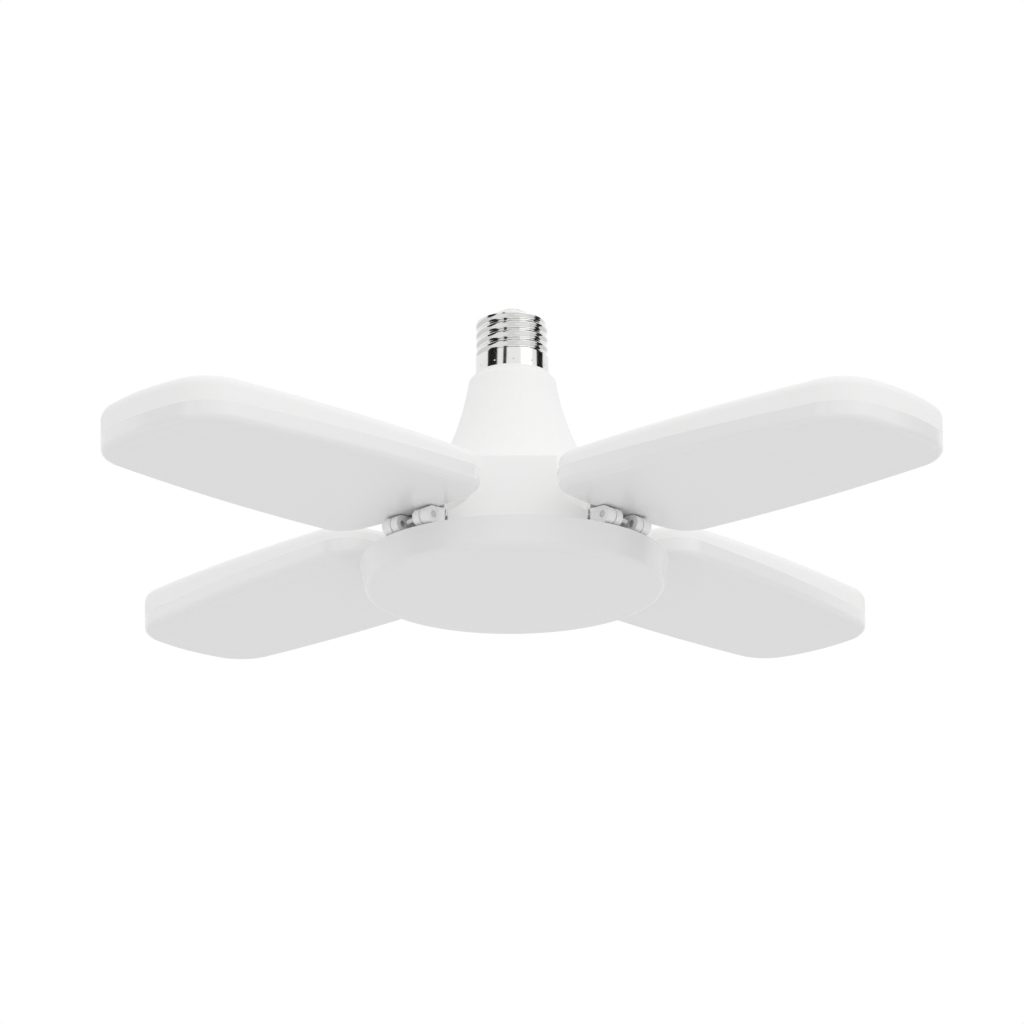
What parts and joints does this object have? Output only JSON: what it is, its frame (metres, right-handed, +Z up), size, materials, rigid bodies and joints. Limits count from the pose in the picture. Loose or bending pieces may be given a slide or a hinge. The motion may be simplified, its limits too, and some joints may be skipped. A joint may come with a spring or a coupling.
{
  "type": "folding blade lamp on a screw cap",
  "caption": "White LED lamp on a screw cap: a block hub under a flared neck, with long milky light blades on friction hinges and a round milky light below.",
  "frame": {"origin": "on the lamp's axis at the rim of the screw cap, where the cap meets the neck", "axes": "+Z up along the axis towards the cap's contact; the blades lie on the diagonals between the X and Y axes"},
  "size_m": [0.2776, 0.2776, 0.1089],
  "materials": {
    "nickel_shell": "bright rolled nickel plate",
    "white_insulator": "moulded insulator, smooth",
    "contact_metal": "tinned contact",
    "white_housing": "satin white moulding",
    "milky_cover": "milky translucent diffuser",
    "board_white": "white solder mask on aluminium",
    "led_phosphor": "phosphor over a white package",
    "screw_steel": "zinc plated",
    "board_green": "green solder mask",
    "capacitor_sleeve": "shrink sleeve",
    "black_plastic": "moulded package",
    "resistor_body": "lacquered body",
    "lead_jacket": "insulated lead",
    "washer_plastic": "nylon washer"
  },
  "bodies": {
    "hub": {"screw_shell": "nickel_shell", "cap_insulator": "white_insulator", "centre_contact": "contact_metal", "neck_housing": "white_housing", "hub_frame": "white_housing", "centre_tray": "white_housing", "centre_diffuser": "milky_cover", "centre_led_board": "board_white", "centre_leds": "led_phosphor", "tray_screws": "screw_steel", "neck_screws": "screw_steel", "driver_board": "board_green", "bulk_capacitor": "capacitor_sleeve", "transformer": "black_plastic", "bridge_rectifier": "black_plastic", "driver_chip": "black_plastic", "fuse_resistor": "resistor_body", "live_lead": "lead_jacket", "neutral_lead": "lead_jacket", "centre_light_leads": "lead_jacket", "blade_feed_leads": "lead_jacket", "hinge_pins": "screw_steel", "friction_washers": "washer_plastic"},
    "front_right_blade": {"front_right_housing": "white_housing", "front_right_led_board": "board_white", "front_right_leds": "led_phosphor", "front_right_board_screws": "screw_steel", "front_right_diffuser": "milky_cover", "front_right_lead": "lead_jacket"},
    "rear_right_blade": {"rear_right_housing": "white_housing", "rear_right_led_board": "board_white", "rear_right_leds": "led_phosphor", "rear_right_board_screws": "screw_steel", "rear_right_diffuser": "milky_cover", "rear_right_lead": "lead_jacket"},
    "rear_left_blade": {"rear_left_housing": "white_housing", "rear_left_led_board": "board_white", "rear_left_leds": "led_phosphor", "rear_left_board_screws": "screw_steel", "rear_left_diffuser": "milky_cover", "rear_left_lead": "lead_jacket"},
    "front_left_blade": {"front_left_housing": "white_housing", "front_left_led_board": "board_white", "front_left_leds": "led_phosphor", "front_left_board_screws": "screw_steel", "front_left_diffuser": "milky_cover", "front_left_lead": "lead_jacket"}
  },
  "joints": [
    {"name": "front_right_fold", "type": "hinge", "parent": "hub", "child": "front_right_blade", "pos_m": [0.03691, -0.03691, -0.0674], "axis": [0.7071, 0.7071, 0], "range_deg": [-1.6, 88]},
    {"name": "rear_right_fold", "type": "hinge", "parent": "hub", "child": "rear_right_blade", "pos_m": [0.03691, 0.03691, -0.0674], "axis": [-0.7071, 0.7071, 0], "range_deg": [-1.6, 88]},
    {"name": "rear_left_fold", "type": "hinge", "parent": "hub", "child": "rear_left_blade", "pos_m": [-0.03691, 0.03691, -0.0674], "axis": [-0.7071, -0.7071, 0], "range_deg": [-1.6, 88]},
    {"name": "front_left_fold", "type": "hinge", "parent": "hub", "child": "front_left_blade", "pos_m": [-0.03691, -0.03691, -0.0674], "axis": [0.7071, -0.7071, 0], "range_deg": [-1.6, 88]}
  ]
}
